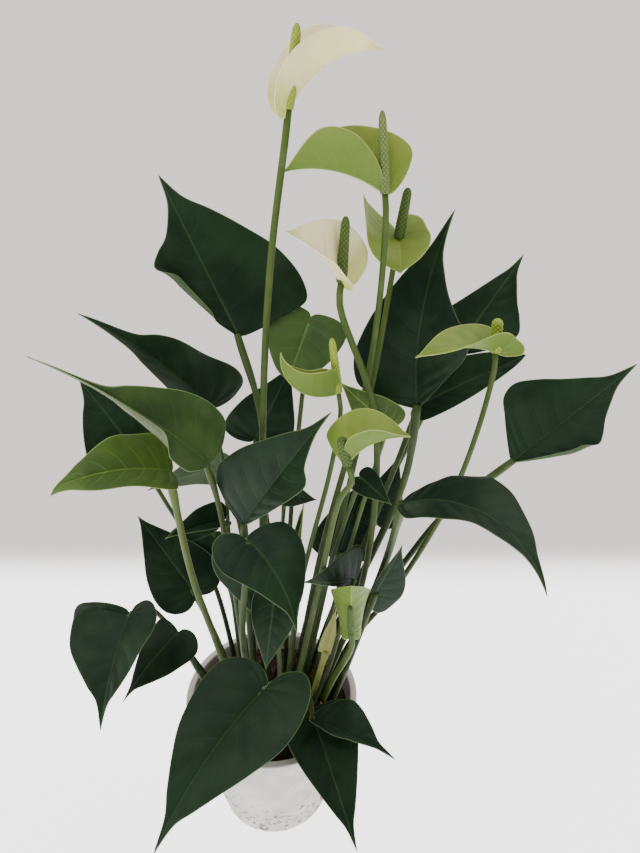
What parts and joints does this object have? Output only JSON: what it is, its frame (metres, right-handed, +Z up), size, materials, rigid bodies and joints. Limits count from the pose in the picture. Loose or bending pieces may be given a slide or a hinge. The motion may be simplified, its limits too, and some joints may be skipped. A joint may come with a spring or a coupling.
{
  "type": "potted flamingo flower",
  "caption": "Flowering house plant: a tuft of long-stalked, leathery heart- and kite-shaped leaves and hooded white and green blooms in a round tapered white pot",
  "frame": {"origin": "centre of the underside of the pot, where it stands on the floor", "axes": "+Z up along the pot's axis; +X to the right and -Y towards the viewer, as in the picture's view of the plant"},
  "size_m": [0.3584, 0.2021, 0.5513],
  "materials": {
    "pot": "matt whitewash with small worn chips",
    "soil": "dry peat, rough",
    "leaf_dark": "leathery leaf, satin",
    "leaf_mid": "leathery leaf, satin, half grown",
    "leaf_young": "young leaf, satin",
    "sheath": "papery old sheath, matt",
    "spathe_white": "waxy bract, satin",
    "spathe_green": "waxy bract, satin",
    "spadix": "knobbly flower spike, matt",
    "stalk": "smooth stalk, satin"
  },
  "bodies": {
    "root": {"pot": "pot", "soil": "soil", "leaf_01": "leaf_dark", "leaf_02": "leaf_dark", "leaf_03": "leaf_mid", "leaf_04": "leaf_dark", "leaf_05": "leaf_young", "leaf_06": "leaf_dark", "leaf_07": "leaf_dark", "leaf_08": "leaf_dark", "leaf_09": "leaf_dark", "leaf_10": "leaf_dark", "leaf_11": "leaf_dark", "leaf_12": "leaf_dark", "leaf_13": "leaf_dark", "leaf_14": "leaf_dark", "leaf_15": "leaf_dark", "leaf_16": "leaf_dark", "leaf_17": "leaf_dark", "leaf_18": "leaf_dark", "leaf_19": "leaf_dark", "leaf_20": "leaf_dark", "leaf_21": "leaf_mid", "leaf_22": "leaf_dark", "leaf_23": "leaf_dark", "leaf_24": "leaf_dark", "leaf_25": "leaf_dark", "leaf_26": "leaf_dark", "leaf_27": "leaf_dark", "leaf_28": "leaf_dark", "leaf_29": "leaf_young", "leaf_30": "leaf_dark", "leaf_31": "leaf_dark", "leaf_32": "leaf_dark", "leaf_33": "leaf_young", "sheath": "sheath", "bloom_1_spathe": "spathe_white", "bloom_1_spadix": "spadix", "bloom_1_stalk": "stalk", "bloom_2_spathe": "spathe_green", "bloom_2_spadix": "spadix", "bloom_2_stalk": "stalk", "bloom_3_spathe": "spathe_green", "bloom_3_spadix": "spadix", "bloom_3_stalk": "stalk", "bloom_4_spathe": "spathe_white", "bloom_4_spadix": "spadix", "bloom_4_stalk": "stalk", "bloom_5_spathe": "spathe_green", "bloom_5_spadix": "spadix", "bloom_5_stalk": "stalk", "bloom_6_spathe": "spathe_green", "bloom_6_spadix": "spadix", "bloom_6_stalk": "stalk", "bloom_7_spathe": "spathe_green", "bloom_7_spadix": "spadix", "bloom_7_stalk": "stalk", "bloom_8_spathe": "spathe_green", "bloom_8_spadix": "spadix", "bloom_8_stalk": "stalk"}
  },
  "joints": []
}
